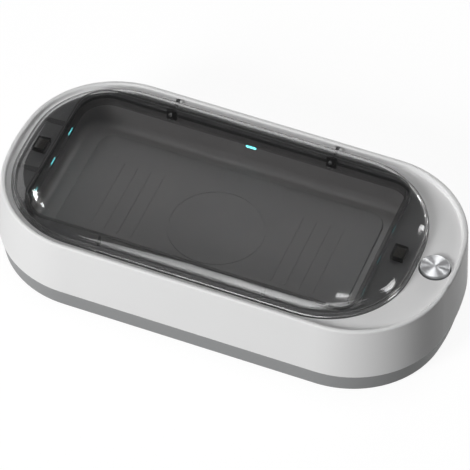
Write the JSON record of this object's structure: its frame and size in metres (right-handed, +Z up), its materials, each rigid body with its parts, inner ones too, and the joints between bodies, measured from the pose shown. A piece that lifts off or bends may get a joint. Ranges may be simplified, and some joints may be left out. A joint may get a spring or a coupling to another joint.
{
  "type": "uv sanitizer box for phones",
  "caption": "Low rounded box with a smoked hinged lid over a lamp-lit charging tray for one phone, and a round power button at one end.",
  "frame": {"origin": "on the table, under the middle of the box", "axes": "+X along the box towards the button, +Y across it towards the hinges, +Z up"},
  "size_m": [0.2294, 0.1178, 0.0458],
  "materials": {
    "white_plastic": "white moulded plastic with a satin sheen",
    "plate_plastic": "black moulded plastic with a hard gloss coat",
    "grey_plastic": "light grey moulded plastic, finely textured",
    "feet_rubber": "black moulded rubber",
    "tray_plastic": "black moulded plastic, satin",
    "mat_rubber": "dark grey silicone rubber, matt",
    "coil_copper": "wound enamelled copper wire",
    "ferrite": "pressed ferrite, dull dark grey",
    "black_plastic": "black moulded plastic",
    "screw_steel": "zinc plated steel",
    "board_laminate": "green coated glass-fibre laminate",
    "lamp_laminate": "white coated laminate",
    "chip_plastic": "black moulded epoxy",
    "can_aluminium": "drawn aluminium can",
    "connector_plastic": "natural moulded plastic",
    "inlet_steel": "nickel plated drawn steel",
    "magnet_nickel": "nickel plated magnet",
    "buffer_silicone": "clear silicone, frosted",
    "spun_aluminium": "turned face with fine rings and a bright bevel",
    "spring_steel": "drawn spring wire",
    "plunger_plastic": "natural moulded plastic",
    "smoked_acrylic": "clear smoked acrylic, polished",
    "band_ink": "thin black inlay",
    "pin_steel": "bright steel",
    "lamp_lens": "clear ultraviolet window that glows pale cyan",
    "led_ceramic": "white ceramic lamp package"
  },
  "bodies": {
    "case": {"upper_case": "white_plastic", "deck_plate": "plate_plastic", "base_cover": "grey_plastic", "rubber_feet": "feet_rubber", "chamber_tray": "tray_plastic", "charging_mat": "mat_rubber", "charging_coil": "coil_copper", "ferrite_plate": "ferrite", "coil_holder": "black_plastic", "coil_screws": "screw_steel", "main_board": "board_laminate", "board_screws": "screw_steel", "control_chips": "chip_plastic", "power_coils": "ferrite", "capacitors": "can_aluminium", "lead_sockets": "connector_plastic", "socket_shell": "inlet_steel", "socket_tongue": "black_plastic", "case_screws": "screw_steel", "tray_screws": "screw_steel", "lamp_screws": "screw_steel", "deck_magnets": "magnet_nickel", "lid_sensor": "chip_plastic", "lid_buffers": "buffer_silicone", "button_guide": "black_plastic", "button_board": "board_laminate", "button_screws": "screw_steel", "tact_switch": "black_plastic", "hinge_pins": "pin_steel", "left_lenses": "lamp_lens", "left_leds": "led_ceramic", "left_lamp_board": "lamp_laminate", "right_lenses": "lamp_lens", "right_leds": "led_ceramic", "right_lamp_board": "lamp_laminate", "rear_lenses": "lamp_lens", "rear_leds": "led_ceramic", "rear_lamp_board": "lamp_laminate", "front_lenses": "lamp_lens", "front_leds": "led_ceramic", "front_lamp_board": "lamp_laminate"},
    "lid": {"lid_cover": "smoked_acrylic", "lid_band": "band_ink", "left_hinge_arm": "black_plastic", "right_hinge_arm": "black_plastic", "arm_screws": "pin_steel", "front_tabs": "black_plastic", "magnet_holders": "smoked_acrylic", "lid_magnets": "magnet_nickel"},
    "power_button": {"button_cap": "spun_aluminium", "button_stem": "black_plastic", "button_spring": "spring_steel", "switch_plunger": "plunger_plastic"}
  },
  "joints": [
    {"name": "lid_hinge", "type": "hinge", "parent": "case", "child": "lid", "pos_m": [0, 0.0532, 0.041], "axis": [-1, 0, 0], "range_deg": [0, 95]},
    {"name": "button_press", "type": "slide", "parent": "case", "child": "power_button", "axis": [0, 0, -1], "range_m": [0, 0.0005], "stiffness_N_per_m": 900, "springref_m": -0.0005, "deforming": ["button_spring"]}
  ]
}
